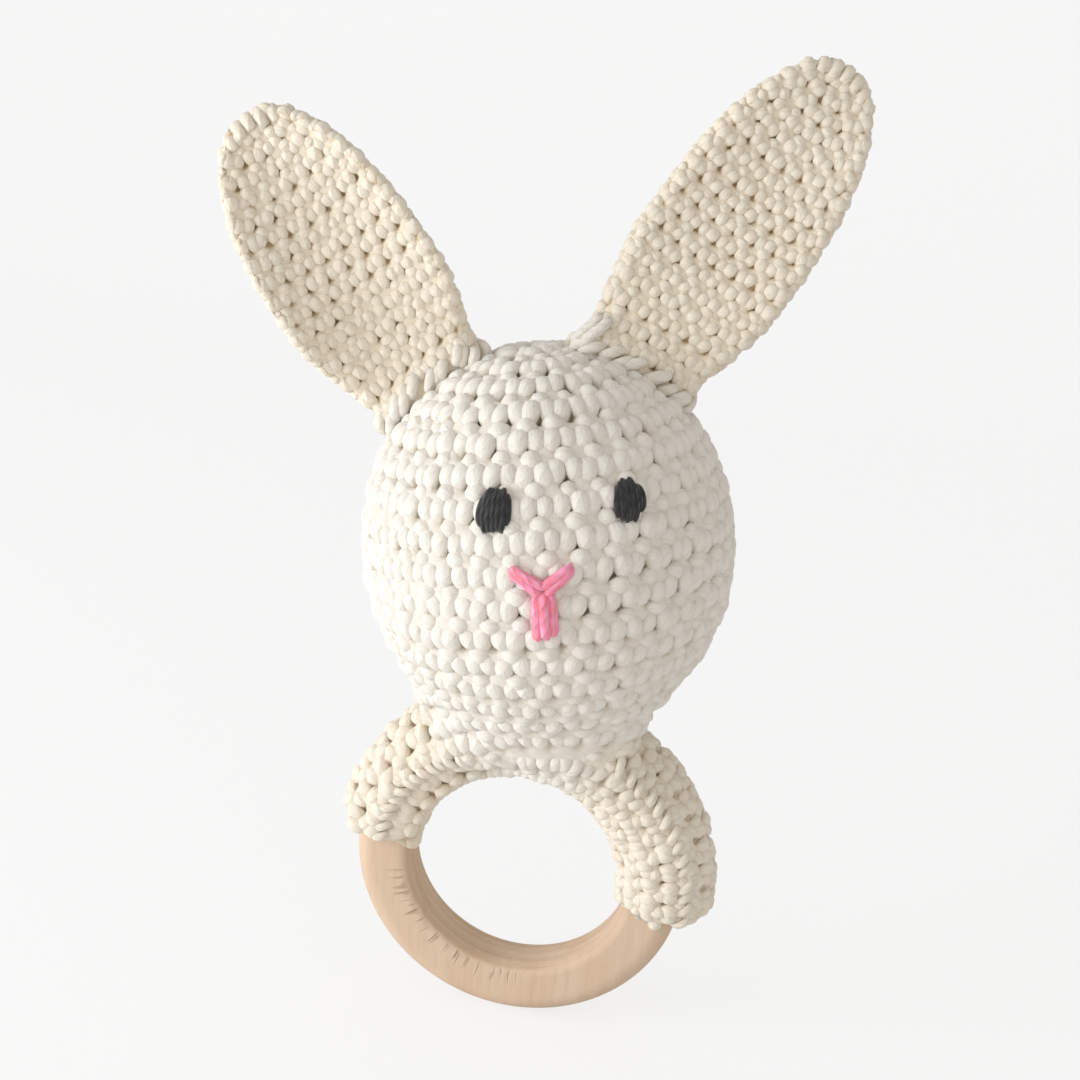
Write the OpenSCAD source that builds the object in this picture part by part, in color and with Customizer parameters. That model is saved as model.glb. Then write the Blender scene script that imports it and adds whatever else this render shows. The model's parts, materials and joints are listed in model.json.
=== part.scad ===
// Crocheted bunny teething ring: a wooden ring, a crocheted sleeve wrapped round
// its upper part, and a stuffed crocheted head with two floppy ears sewn on top.
// The origin is the ring's centre. +Z runs from the ring to the head, and the ring
// is flat in the XZ plane, so its axis is Y and the face looks towards -Y.
// Left is the side at -X and right the side at +X.

/* [Wooden ring] */
// Outer diameter of the ring
ring_d = 55; // [48:1:70]
// Radial width of the ring's section
ring_w = 9.2; // [7:0.1:12]
// Thickness of the ring along its axis
ring_t = 8.8; // [7:0.1:12]
// Radius on the section's two corners at the hole
ring_inner_edge_r = 1.8; // [0.8:0.1:3.2]
// Radius on the section's two outer corners
ring_outer_edge_r = 3.4; // [0.8:0.1:3.4]

/* [Ring sleeve] */
// Thinnest the left arm's stretched fabric gets, at the ring's corners
sleeve_left_t = 0.7; // [0.5:0.05:3]
// Thinnest the right arm's looser fabric gets, at the ring's corners
sleeve_right_t = 1.6; // [0.6:0.05:3]
// Gap between the fabric and the wood that turns in it
sleeve_gap = 0.1; // [0.02:0.01:0.1]
// Angle that the sleeve covers from the top to its left end
sleeve_left_a = 86; // [60:1:110]
// Angle that the sleeve covers from the top to its right end
sleeve_right_a = 100; // [60:1:130]
// Outward shift of the fabric, which bunches on the ring's outside
sleeve_shift = 1.5; // [0:0.1:3]
// Angle from the ring's outside to behind it of the seam's left end
seam_left_a = -102; // [-180:1:180]
// Angle from the ring's outside to behind it of the seam's right end
seam_right_a = -58; // [-180:1:180]
// Length of one whip stitch on the sleeve's seam
sleeve_stitch_l = 3.4; // [2:0.1:5]
// Number of whip stitches on the sleeve's seam
sleeve_stitches = 36; // [12:1:40]

/* [Head] */
// Widest radius of the head
head_r = 29.4; // [24:0.1:36]
// Height of the crown above the head's widest part
head_up = 31.9; // [26:0.1:38]
// Depth of the underside below the head's widest part
head_down = 31.4; // [26:0.1:38]
// Fullness of the head's upper half, where 2 is an ellipse
full_up = 2.05; // [1.8:0.05:2.5]
// Fullness of the head's lower half, where 2 is an ellipse
full_down = 1.98; // [1.7:0.05:2.5]
// Thickness of the head's crocheted cover
cover_t = 2.4; // [1.6:0.1:3.2]
// Depth that the head's underside sinks over the sleeve
neck_sink = 7.2; // [3:0.1:9]
// Angle that the face turns towards +X
head_turn = 12; // [-20:1:20]
// Angle that the crown leans towards +Y
head_lean = 7; // [-10:1:15]
// Angle that the crown leans towards -X
head_roll = 8; // [-10:1:10]
// Radius of the sewing yarn
sewing_r = 0.8; // [0.5:0.05:1.2]
// Number of whip stitches round the neck
neck_stitches = 28; // [12:1:40]

/* [Ears] */
// Length of the left ear from its hinge line to its tip
ear_left_l = 45.5; // [36:0.5:70]
// Length of the right ear from its hinge line to its tip
ear_right_l = 51.5; // [36:0.5:70]
// Widest width of an ear
ear_w = 26.6; // [18:0.1:34]
// Width of an ear at its base
ear_base_w = 19.5; // [12:0.5:24]
// Thickness of an ear, which is two layers of fabric
ear_t = 5.2; // [4:0.1:7]
// Depth of the hollow down the left ear's front
ear_left_cup = 3.6; // [0:0.1:6]
// Depth of the hollow down the right ear's front
ear_right_cup = 1.2; // [0:0.1:6]
// Angle on the head from the crown to the left ear's base
ear_left_polar = 32; // [20:0.5:50]
// Angle on the head from the crown to the right ear's base
ear_right_polar = 30; // [20:0.5:50]
// Angle that the left ear splays from the head's axis
ear_left_splay = 29.5; // [15:0.5:45]
// Angle that the right ear splays from the head's axis
ear_right_splay = 39; // [15:0.5:45]
// Angle that the left ear leans to the front of the head's axis
ear_left_lean = 6; // [-20:1:25]
// Angle that the right ear leans to the front of the head's axis
ear_right_lean = -4; // [-25:1:20]
// Gap between the middle of an ear's base and the head
ear_gap = 0.4; // [0.3:0.05:1]
// Least gap between any part of an ear's base and the head
ear_clearance = 0.25; // [0.2:0.05:0.3]
// Number of whip stitches on each side of an ear's base
ear_stitches = 6; // [3:1:9]

/* [Face] */
// Height of an embroidered eye
eye_h = 7.4; // [3:0.1:10]
// Width of an embroidered eye
eye_w = 4.9; // [2:0.1:7]
// Height that an eye stands out of the face
eye_t = 1.3; // [0.6:0.1:2.5]
// Angle above the head's middle at which the eyes sit
eye_up = 24; // [10:1:35]
// Angle from the middle of the face to the left eye
eye_left_side = 14.7; // [10:0.1:35]
// Angle from the middle of the face to the right eye
eye_right_side = 27; // [10:0.1:35]
// Radius of the pink nose yarn
nose_yarn_r = 1.15; // [0.6:0.05:1.4]
// Angle above the head's middle of the nose's two upper ends
nose_up = 7.8; // [4:0.1:12]
// Angle above the head's middle at which the nose's stitches meet
nose_low = 1.4; // [-2:0.1:3]
// Angle from the nose's middle to each of its upper ends
nose_side = 9; // [6:0.1:15]
// Angle from the middle of the face to the nose's middle
nose_turn = -1.4; // [-5:0.1:5]
// Angle below the head's middle at which the mouth stitch ends
mouth_down = 16; // [10:1:22]
// Distance between the middles of the mouth stitch's two strands
mouth_spread = 1.6; // [0.6:0.1:2]

/* [Hidden] */
$fn = 48;

wood = "#e3c3a0";
white_yarn = "#f0ece2";
cream_yarn = "#ebe2cd";
fibre = "#f7f6f2";
black_yarn = "#303030";
pink_yarn = "#ff9aae";

LEFT = -1;
RIGHT = 1;
part_gap = 0.05;
ring_mid_r = ring_d / 2 - ring_w / 2;
arm_mid_r = ring_mid_r + sleeve_shift;

// How far a corner of the ring's section with radius r lies from a point that is
// shift further from it than the section's middle.
function corner_reach(r, shift) = norm([ring_w / 2 - r + shift, ring_t / 2 - r]) + r;

// Per-side values of the sleeve and the ears.
function arm_angle(side) = side == LEFT ? sleeve_left_a : sleeve_right_a;
function arm_r(side) =
    max(corner_reach(ring_inner_edge_r, sleeve_shift), corner_reach(ring_outer_edge_r, -sleeve_shift))
    + sleeve_gap + (side == LEFT ? sleeve_left_t : sleeve_right_t);
function ear_l(side) = side == LEFT ? ear_left_l : ear_right_l;
function ear_cup(side) = side == LEFT ? ear_left_cup : ear_right_cup;
function ear_polar(side) = side == LEFT ? ear_left_polar : ear_right_polar;
function ear_splay(side) = side == LEFT ? ear_left_splay : ear_right_splay;
function ear_lean(side) = side == LEFT ? ear_left_lean : ear_right_lean;

head_z = arm_mid_r + arm_r(LEFT) + head_down - neck_sink;

// Distance from the head's centre to its surface at an angle from the crown, for a
// head that is smaller by inset all over.
function head_rho(a, inset = 0) =
    let (n = a > 90 ? full_down : full_up,
         h = (a > 90 ? head_down : head_up) - inset)
    pow(pow(abs(sin(a)) / (head_r - inset), n) + pow(abs(cos(a)) / h, n), -1 / n);

// A point on the head's surface in the head's own frame, raised by lift. side is
// the angle from the middle of the face towards +X, and up the angle above the
// head's middle.
function face_point(side, up, lift = 0) =
    (head_rho(90 - up) + lift) * [cos(up) * sin(side), -cos(up) * cos(side), sin(up)];

// Turns of a vector about the three axes.
function turn_x(a, v) = [v[0], cos(a) * v[1] - sin(a) * v[2], sin(a) * v[1] + cos(a) * v[2]];
function turn_y(a, v) = [cos(a) * v[0] + sin(a) * v[2], v[1], cos(a) * v[2] - sin(a) * v[0]];
function turn_z(a, v) = [cos(a) * v[0] - sin(a) * v[1], sin(a) * v[0] + cos(a) * v[1], v[2]];

// Points taken from the head's own frame to the part's, and back.
function from_head(v) =
    turn_z(head_turn, turn_y(-head_roll, turn_x(-head_lean, v))) + [0, 0, head_z];
function to_head(p) =
    turn_x(head_lean, turn_y(head_roll, turn_z(-head_turn, p - [0, 0, head_z])));

// Moves its children to the head's own frame, centred in the head with its crown
// on +Z and its face towards -Y.
module in_head() {
    translate([0, 0, head_z]) rotate([-head_lean, -head_roll, head_turn]) children();
}

// How far an ear's base clears the head at its tightest, with the middle of its
// hinge line at a distance out from the head's centre.
function base_clearance(side, out) =
    min([for (share = [-0.44 : 0.11 : 0.44])
         let (p = out * [side * sin(ear_polar(side)), 0, cos(ear_polar(side))]
                  + turn_y(side * ear_splay(side),
                           turn_x(ear_lean(side), [share * ear_base_w, 0, -ear_t / 2])),
              a = acos(p[2] / norm(p)))
         norm(p) - head_rho(a)]);

// Distance from the head's centre to the middle of an ear's hinge line. An ear that
// leans over a fuller head stands further out.
function ear_out(side) =
    let (out = head_rho(ear_polar(side)) + ear_gap + ear_t / 2)
    out + 1.2 * max(0, ear_clearance - base_clearance(side, out));

// Moves its children to an ear's own frame: the hinge line is the X axis through
// the origin, the ear stands on +Z and its front faces -Y.
module in_ear(side) {
    out = ear_out(side);
    in_head()
        translate([side * out * sin(ear_polar(side)), 0, out * cos(ear_polar(side))])
        rotate([0, side * ear_splay(side), 0])
        rotate([ear_lean(side), 0, 0]) children();
}

// A straight stitch of yarn from p to q with round ends.
module stitch(p, q, r) {
    d = q - p;
    l = norm(d);
    translate(p)
        rotate([0, acos(d[2] / l), atan2(d[1], d[0])]) {
            cylinder(r = r, h = l);
            sphere(r = r);
            translate([0, 0, l]) sphere(r = r);
        }
}

// The ring's section: a rectangle with its four corners rounded, larger by grow.
module ring_section(grow = 0) {
    translate([ring_mid_r, 0])
        for (side = [-1, 1]) {
            r = side < 0 ? ring_inner_edge_r : ring_outer_edge_r;
            w = ring_w / 2 - r;
            t = ring_t / 2 - r;
            translate([side * w / 2, 0]) square([w + part_gap, 2 * (t + r + grow)], center = true);
            translate([side * (w + (r + grow) / 2), 0]) square([r + grow, 2 * t], center = true);
            for (y = [-t, t]) translate([side * w, y]) circle(r = r + grow);
        }
}

// Both arms of the sleeve as bars round the ring's axis, larger by grow, and hollow
// for the ring to turn in where asked.
module sleeve_bars(grow = 0, hollow = false) {
    for (side = [LEFT, RIGHT])
        rotate([90, 0, 0])
            rotate_extrude(angle = arm_angle(side), start = side == LEFT ? 90 : 90 - arm_angle(side))
            difference() {
                translate([arm_mid_r, 0]) circle(r = arm_r(side) + grow);
                if (hollow) ring_section(sleeve_gap);
            }
}

// The head as a solid egg, smaller by inset.
module head_body(inset) {
    steps = 32;
    rotate_extrude()
        polygon([for (i = [0 : steps]) let (a = 180 * i / steps)
                 head_rho(a, inset) * [i == 0 || i == steps ? 0 : sin(a), cos(a)]]);
}

module wooden_ring() {
    color(wood) rotate([90, 0, 0]) rotate_extrude() ring_section();
}

module ring_sleeve() {
    color(white_yarn) sleeve_bars(hollow = true);
}

// The row of whip stitches that closes the sleeve. It runs down the front of both
// arms and comes round towards the outside of the right arm.
module sleeve_seam() {
    end_margin = 5;
    slant = 25;
    start = end_margin - sleeve_left_a;
    end = sleeve_right_a - end_margin;
    color(white_yarn)
        for (i = [0 : sleeve_stitches - 1]) {
            along = start + (end - start) * i / (sleeve_stitches - 1);
            side = along > 0 ? RIGHT : LEFT;
            around = seam_left_a + (seam_right_a - seam_left_a) * i / (sleeve_stitches - 1);
            rotate([0, along, 0])
                translate([0, 0, arm_mid_r])
                rotate([-around, 0, 0])
                translate([0, 0, arm_r(side)])
                rotate([0, 0, slant])
                stitch([0, -sleeve_stitch_l / 2, 0], [0, sleeve_stitch_l / 2, 0], sewing_r);
        }
}

module head_cover() {
    color(white_yarn) difference() {
        in_head() head_body(0);
        in_head() head_body(cover_t);
        sleeve_bars(part_gap);
    }
}

module head_filling() {
    color(fibre) difference() {
        in_head() head_body(cover_t + part_gap);
        sleeve_bars(part_gap);
    }
}

// Whip stitches round the neck, where the head's underside meets the sleeve. Each
// runs from a point on the sleeve to a point on the head.
module neck_seam() {
    // The sleeve's point at a share t of the way out from its top in direction a.
    function on_sleeve(a, t) =
        let (along = 60 * t * sin(a), around = 110 * t * cos(a),
             side = along > 0 ? RIGHT : LEFT,
             rho = arm_mid_r + arm_r(side) * cos(around))
        [rho * sin(along), -arm_r(side) * sin(around), rho * cos(along)];
    // Positive where a point of the sleeve is clear of the head.
    function clear_of_head(p) =
        let (q = to_head(p), a = acos(q[2] / norm(q))) norm(q) - head_rho(a);
    // The share at which the sleeve comes out of the head, found by halving.
    function edge(a, low = 0, high = 1, tries = 14) =
        let (mid = (low + high) / 2)
        tries == 0 ? mid
        : clear_of_head(on_sleeve(a, mid)) > 0 ? edge(a, low, mid, tries - 1)
        : edge(a, mid, high, tries - 1);
    up_head = 5;
    down_sleeve = 1.14;
    color(white_yarn)
        for (i = [0 : neck_stitches - 1]) {
            a = 360 * (i + 0.5) / neck_stitches;
            t = edge(a);
            q = to_head(on_sleeve(a, t));
            polar = acos(q[2] / norm(q)) - up_head;
            azimuth = atan2(q[1], q[0]);
            on_head = head_rho(polar) * [sin(polar) * cos(azimuth), sin(polar) * sin(azimuth), cos(polar)];
            stitch(on_sleeve(a, t * down_sleeve), from_head(on_head), sewing_r);
        }
}

// One ear as a flattened, hollow-fronted loft with round ends, in its own frame.
module ear(side) {
    l = ear_l(side);
    base_r = ear_t / 2;
    full_at = 0.3 * l;
    cup_from = 16;
    steps = 26;
    sides = 28;
    function half_w(z) =
        let (past = max(0, (z - full_at) / (l - full_at)),
             grow = sin(90 * max(0, min(1, z / full_at))),
             shut = sqrt(max(0, 1 - pow(past, 2.7))))
        z < 0 ? ear_base_w / 2 * (1 - 0.12 * pow(z / base_r, 2))
              : (ear_base_w + (ear_w - ear_base_w) * grow) / 2 * shut;
    function half_t(z) =
        z < 0 ? sqrt(base_r * base_r - z * z) : base_r * sqrt(1 - pow(z / l, 8));
    function section(z) =
        let (w = half_w(z), t = half_t(z),
             deep = ear_cup(side) * sin(90 * max(0, min(1, z / cup_from))))
        [for (k = [0 : sides - 1]) let (a = 360 * k / sides, x = w * cos(a))
            [x, t * sign(sin(a)) * pow(abs(sin(a)), 0.8) - deep * pow(x / (ear_w / 2), 2), z]];
    // Sections from just above the base's end to just below the tip, close together
    // near both ends.
    low = -0.995 * base_r;
    high = 0.998 * l;
    points = [for (i = [0 : steps])
              each section(low + (high - low) * (1 - cos(180 * i / steps)) / 2)];
    top = steps * sides;
    polyhedron(points = points, faces = concat(
        [[for (k = [0 : sides - 1]) k]],
        [for (i = [0 : steps - 1], k = [0 : sides - 1])
            let (a = i * sides + k, b = i * sides + (k + 1) % sides)
            each [[a, a + sides, b], [b, a + sides, b + sides]]],
        [[for (k = [sides - 1 : -1 : 0]) top + k]]));
}

module ear_left() {
    color(cream_yarn) in_ear(LEFT) ear(LEFT);
}

module ear_right() {
    color(cream_yarn) in_ear(RIGHT) ear(RIGHT);
}

// Two rows of short stitches on the head, in front of and behind an ear's base.
module ear_seam(side) {
    row = ear_t / 2 + ear_gap + 1.5 * sewing_r;
    reach = 2;
    pitch = ear_base_w / ear_stitches;
    r = head_rho(ear_polar(side)) - 0.2 * sewing_r;
    function on_head(x, y) = [x, y, sqrt(r * r - x * x - y * y)];
    color(cream_yarn) in_head() rotate([0, side * ear_polar(side), 0])
        for (face = [-1, 1], i = [0 : ear_stitches - 1]) {
            x = pitch * (i - (ear_stitches - 1) / 2);
            stitch(on_head(x, face * row), on_head(x + reach / 4, face * (row + reach)), sewing_r);
        }
}

// A satin-stitched oval that bulges from the face, side degrees from its middle.
module eye(side) {
    color(black_yarn) in_head()
        translate(face_point(side, eye_up))
        rotate([-eye_up, 0, side])
        scale([eye_w / 2, eye_t, eye_h / 2]) sphere(r = 1);
}

nose_join = face_point(nose_turn, nose_low, nose_yarn_r * 0.3);
nose_end_lift = -nose_yarn_r * 0.5;

// One of the nose's two upper stitches, ending side degrees from its middle.
module nose_stitch(side) {
    color(pink_yarn) in_head()
        stitch(face_point(nose_turn + side, nose_up, nose_end_lift), nose_join, nose_yarn_r);
}

// The double strand from the nose down to the mouth, its two yarns lying side by side.
module mouth_stitch() {
    end_reach = nose_yarn_r * 0.6;
    low = face_point(nose_turn, -mouth_down, nose_end_lift);
    d = low - nose_join;
    color(pink_yarn) in_head()
        translate(nose_join)
        rotate([0, acos(d[2] / norm(d)), atan2(d[1], d[0])])
        translate([0, 0, -end_reach])
        linear_extrude(height = norm(d) + 2 * end_reach) {
            square([2 * nose_yarn_r, mouth_spread], center = true);
            for (side = [LEFT, RIGHT])
                translate([0, side * mouth_spread / 2]) circle(r = nose_yarn_r);
        }
}

wooden_ring();
ring_sleeve();
sleeve_seam();
head_cover();
head_filling();
neck_seam();
ear_left();
ear_right();
ear_seam(LEFT);  // ear_left_seam
ear_seam(RIGHT);  // ear_right_seam
eye(-eye_left_side);  // eye_left
eye(eye_right_side);  // eye_right
nose_stitch(-nose_side);  // nose_stitch_left
nose_stitch(nose_side);  // nose_stitch_right
mouth_stitch();
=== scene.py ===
"""Looks of the crocheted bunny teething ring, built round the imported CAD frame.

Every stitch is modelled as yarn: two legs and the front loop of the stitch below
it, laid on the surface that the CAD gives, over a backing with a hole beside each
stitch. Lengths in this file are in millimetres until a mesh is made.
"""
import json
import math

import bpy
import numpy as np
from mathutils import Matrix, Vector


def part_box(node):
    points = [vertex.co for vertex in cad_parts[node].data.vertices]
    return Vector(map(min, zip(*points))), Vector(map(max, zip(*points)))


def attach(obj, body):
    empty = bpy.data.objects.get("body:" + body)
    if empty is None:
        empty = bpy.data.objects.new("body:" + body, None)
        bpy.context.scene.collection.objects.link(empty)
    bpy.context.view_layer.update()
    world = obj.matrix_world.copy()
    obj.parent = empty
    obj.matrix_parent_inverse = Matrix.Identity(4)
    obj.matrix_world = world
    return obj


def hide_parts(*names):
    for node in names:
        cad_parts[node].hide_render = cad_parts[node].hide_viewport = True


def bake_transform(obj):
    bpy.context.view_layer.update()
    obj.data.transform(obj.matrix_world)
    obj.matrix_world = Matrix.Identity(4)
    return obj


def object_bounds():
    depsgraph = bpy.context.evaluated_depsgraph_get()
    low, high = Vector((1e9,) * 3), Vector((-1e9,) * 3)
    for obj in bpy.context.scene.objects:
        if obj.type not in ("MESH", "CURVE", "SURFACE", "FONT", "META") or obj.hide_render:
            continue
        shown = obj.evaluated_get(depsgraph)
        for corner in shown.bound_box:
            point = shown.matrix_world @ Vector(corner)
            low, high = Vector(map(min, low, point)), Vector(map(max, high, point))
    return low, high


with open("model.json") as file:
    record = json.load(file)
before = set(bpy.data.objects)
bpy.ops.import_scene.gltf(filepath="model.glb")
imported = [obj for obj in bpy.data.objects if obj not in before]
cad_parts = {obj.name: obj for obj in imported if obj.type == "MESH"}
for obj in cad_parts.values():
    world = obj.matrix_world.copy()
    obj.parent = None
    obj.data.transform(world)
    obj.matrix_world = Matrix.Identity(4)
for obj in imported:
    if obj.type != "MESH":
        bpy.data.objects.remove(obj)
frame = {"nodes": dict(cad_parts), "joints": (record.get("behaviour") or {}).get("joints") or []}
cad_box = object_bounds()
MM = 0.001
random = np.random.default_rng(11)

# Design values that repeat the CAD's, in millimetres and degrees.
RING_T = 8.8
RING_HOLE_R = 18.3
RING_W, RING_MID_R = 9.2, 22.9
RING_INNER_EDGE_R, RING_OUTER_EDGE_R = 1.8, 3.4
SLEEVE_MID_R = 24.4
SLEEVE_LEFT_A, SLEEVE_RIGHT_A = 86, 100
HEAD_R, HEAD_UP, HEAD_DOWN = 29.4, 31.9, 31.4
FULL_UP, FULL_DOWN = 2.05, 1.98
HEAD_TURN, HEAD_LEAN, HEAD_ROLL = 12, 7, 8
EAR_W, EAR_BASE_W, EAR_T = 26.6, 19.5, 5.2
EAR_LEFT_CUP, EAR_RIGHT_CUP = 3.6, 1.2
CROWN_OVER_CENTRE = 31.76
YARN_R = 1.12
EAR_YARN_R = 0.74
LEFT_ARM_YARN_R, RIGHT_ARM_YARN_R = 0.9 * YARN_R, 0.78 * YARN_R
HEAD_STITCH_W, EAR_STITCH_W = 5.05, 3.3
TUBE_SIDES, STITCH_SIDES = 7, 9
YARN_FLAT, HEAD_FLAT, EAR_FLAT = 0.86, 0.70, 0.64


# ---- small vector maths

def turn(x, y, z):
    """Rotation matrix that turns about X, then Y, then Z, in degrees."""
    return np.array(Matrix.Rotation(math.radians(z), 3, "Z")
                    @ Matrix.Rotation(math.radians(y), 3, "Y")
                    @ Matrix.Rotation(math.radians(x), 3, "X"))


def unit(v):
    return v / np.maximum(np.linalg.norm(v, axis=-1, keepdims=True), 1e-12)


def smooth_step(low, high, x):
    t = np.clip((x - low) / (high - low), 0, 1)
    return t * t * (3 - 2 * t)


def mm_box(node):
    """A CAD node's lowest and highest corners, in millimetres."""
    low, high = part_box(node)
    return np.array(low) / MM, np.array(high) / MM


def spline(points, count):
    """count points along a smooth curve through the given points."""
    p = np.array(points, float)
    p = np.vstack([2 * p[0] - p[1], p, 2 * p[-1] - p[-2]])
    t = np.linspace(0, len(p) - 3 - 1e-9, count)
    i = t.astype(int)
    f = (t - i)[:, None]
    a, b, c, d = p[i], p[i + 1], p[i + 2], p[i + 3]
    return 0.5 * (2 * b + (c - a) * f + (2 * a - 5 * b + 4 * c - d) * f ** 2
                  + (3 * b - a - 3 * c + d) * f ** 3)


# ---- mesh building

class Mesh:
    """Gathers vertices and faces in millimetres, and makes one Blender object."""

    def __init__(self):
        self.points, self.depth, self.tone = [], [], []
        self.loops, self.sizes, self.uv = [], [], []
        self.count = 0

    def add(self, points, faces, uv, depth, tone):
        """faces is one array of equal-sided faces, with a UV for each corner."""
        self.loops.append(faces.ravel() + self.count)
        self.sizes.append(np.full(len(faces), faces.shape[1]))
        self.uv.append(uv.reshape(-1, 2))
        if points is not None:
            self.points.append(points)
            self.depth.append(depth)
            self.tone.append(tone)

    def close(self, number):
        self.count += number

    def make(self, name, material):
        sizes = np.concatenate(self.sizes)
        loops = np.concatenate(self.loops)
        data = bpy.data.meshes.new(name)
        data.vertices.add(self.count)
        places = np.concatenate(self.points) * MM
        data.vertices.foreach_set("co", places.astype(np.float32).ravel())
        data.loops.add(len(loops))
        data.loops.foreach_set("vertex_index", loops.astype(np.int32))
        data.polygons.add(len(sizes))
        starts = np.concatenate([[0], np.cumsum(sizes)[:-1]])
        data.polygons.foreach_set("loop_start", starts.astype(np.int32))
        data.update(calc_edges=True)
        layer = data.uv_layers.new(name="yarn")
        layer.data.foreach_set("uv", np.concatenate(self.uv).astype(np.float32).ravel())
        for label, values in (("depth", self.depth), ("tone", self.tone)):
            attribute = data.attributes.new(label, "FLOAT", "POINT")
            attribute.data.foreach_set("value", np.concatenate(values).astype(np.float32))
        data.validate()
        data.shade_smooth()
        data.materials.append(material)
        return add_object(name, data)


def add_tubes(mesh, centres, normals, radii, tone, depth, sides=TUBE_SIDES, flat=YARN_FLAT):
    """Sweeps a closed tube along each row of centres, flattened along the normals.
    centres and normals are (tubes, points, 3), radii and depth (tubes, points)."""
    tubes, points = centres.shape[:2]
    along = unit(np.gradient(centres, axis=1))
    across = unit(np.cross(along, normals))
    out = np.cross(across, along)
    angle = 2 * np.pi * np.arange(sides) / sides
    ring = (np.cos(angle)[:, None] * across[:, :, None, :]
            + flat * np.sin(angle)[:, None] * out[:, :, None, :])
    verts = centres[:, :, None, :] + radii[:, :, None, None] * ring
    # height becomes the mesh's depth, by which the wool material paints shade on the yarn's underside
    # and wherever it lies low.
    height = depth[:, :, None] + flat * radii[:, :, None] * np.sin(angle)
    first = (np.arange(tubes) * points * sides)[:, None, None]
    p, k = np.meshgrid(np.arange(points - 1), np.arange(sides), indexing="ij")
    here, beyond, beside = p * sides, (p + 1) * sides, (k + 1) % sides
    corner = np.stack([here + k, here + beside, beyond + beside, beyond + k], axis=-1)
    faces = (first + corner.reshape(1, -1, 4)).reshape(-1, 4)
    steps = np.linalg.norm(np.diff(centres, axis=1), axis=-1)
    length = np.concatenate([np.zeros((tubes, 1)), np.cumsum(steps, axis=1)], axis=1)
    length += random.uniform(0, 20, (tubes, 1))
    u = np.stack([length[:, p], length[:, p], length[:, p + 1], length[:, p + 1]], axis=-1)
    v = np.broadcast_to(np.stack([k, k + 1, k + 1, k], axis=-1) / sides, u.shape)
    tones = np.repeat(np.broadcast_to(tone, (tubes, points)).reshape(-1), sides)
    mesh.add(verts.reshape(-1, 3), faces, np.stack([u, v], axis=-1), height.reshape(-1), tones)
    ends = np.stack([np.arange(sides)[::-1], (points - 1) * sides + np.arange(sides)])
    caps = (first + ends).reshape(-1, sides)
    mesh.add(None, caps, np.zeros((len(caps), sides, 2)), None, None)
    mesh.close(tubes * points * sides)


GRID_UV = (0.1, 0.07)


def add_grid(mesh, points, depth, tone):
    """Adds a grid of points, (rows, columns, 3), closed round its columns."""
    rows, columns = points.shape[:2]
    r, c = np.meshgrid(np.arange(rows - 1), np.arange(columns), indexing="ij")
    d = (c + 1) % columns
    here, below = r * columns, (r + 1) * columns
    faces = np.stack([here + c, here + d, below + d, below + c], axis=-1).reshape(-1, 4)
    uv = np.stack([np.stack([c, c + 1, c + 1, c], axis=-1) * GRID_UV[0],
                   np.stack([r, r, r + 1, r + 1], axis=-1) * GRID_UV[1]], axis=-1)
    mesh.add(points.reshape(-1, 3), faces, uv, depth.reshape(-1), tone.reshape(-1))
    mesh.close(rows * columns)


# ---- crochet

# One single crochet. Each point is a share of the stitch's width, a share of its
# height, and a height in yarn radii over the fabric's outer face.
LEFT_LEG = [(0.13, -0.14, -2.8), (0.10, 0.02, -1.9), (0.04, 0.20, -1.26), (0.0, 0.38, -1.10),
            (-0.02, 0.57, -1.32), (-0.01, 0.80, -2.5)]
RIGHT_LEG = [(0.31, -0.14, -2.8), (0.35, 0.02, -1.9), (0.42, 0.20, -1.28), (0.47, 0.38, -1.10),
             (0.49, 0.57, -1.32), (0.46, 0.80, -2.5)]
FRONT_LOOP = [(0.40, 0.66, -2.7), (0.54, 0.76, -1.6), (0.72, 0.83, -1.08), (0.91, 0.87, -1.6),
              (1.04, 0.92, -2.8)]
# How thick the yarn is at five even places along a strand, in yarn radii.
LEG_SWELL = (0.80, 1.16, 1.40, 1.36, 0.88)
LOOP_SWELL = (0.82, 1.20, 1.42, 1.20, 0.82)
STRANDS = ((LEFT_LEG, 10, LEG_SWELL), (RIGHT_LEG, 10, LEG_SWELL), (FRONT_LOOP, 8, LOOP_SWELL))
# Each row starts this share of a stitch further on. HOLE is where the hole beside a
# stitch lies, and HOLE_W and HOLE_H how wide and high it is, in shares of the stitch.
ROW_SHIFT = 0.40
HOLE = (0.72, 0.06)
HOLE_W, HOLE_H = 0.17, 0.16
# How unevenly the stitches lie, in shares of their width and height, and in yarn radii.
WIDTH_WOBBLE, PLACE_WOBBLE, HEIGHT_WOBBLE, THICK_WOBBLE = 0.06, 0.035, 0.10, 0.05


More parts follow.
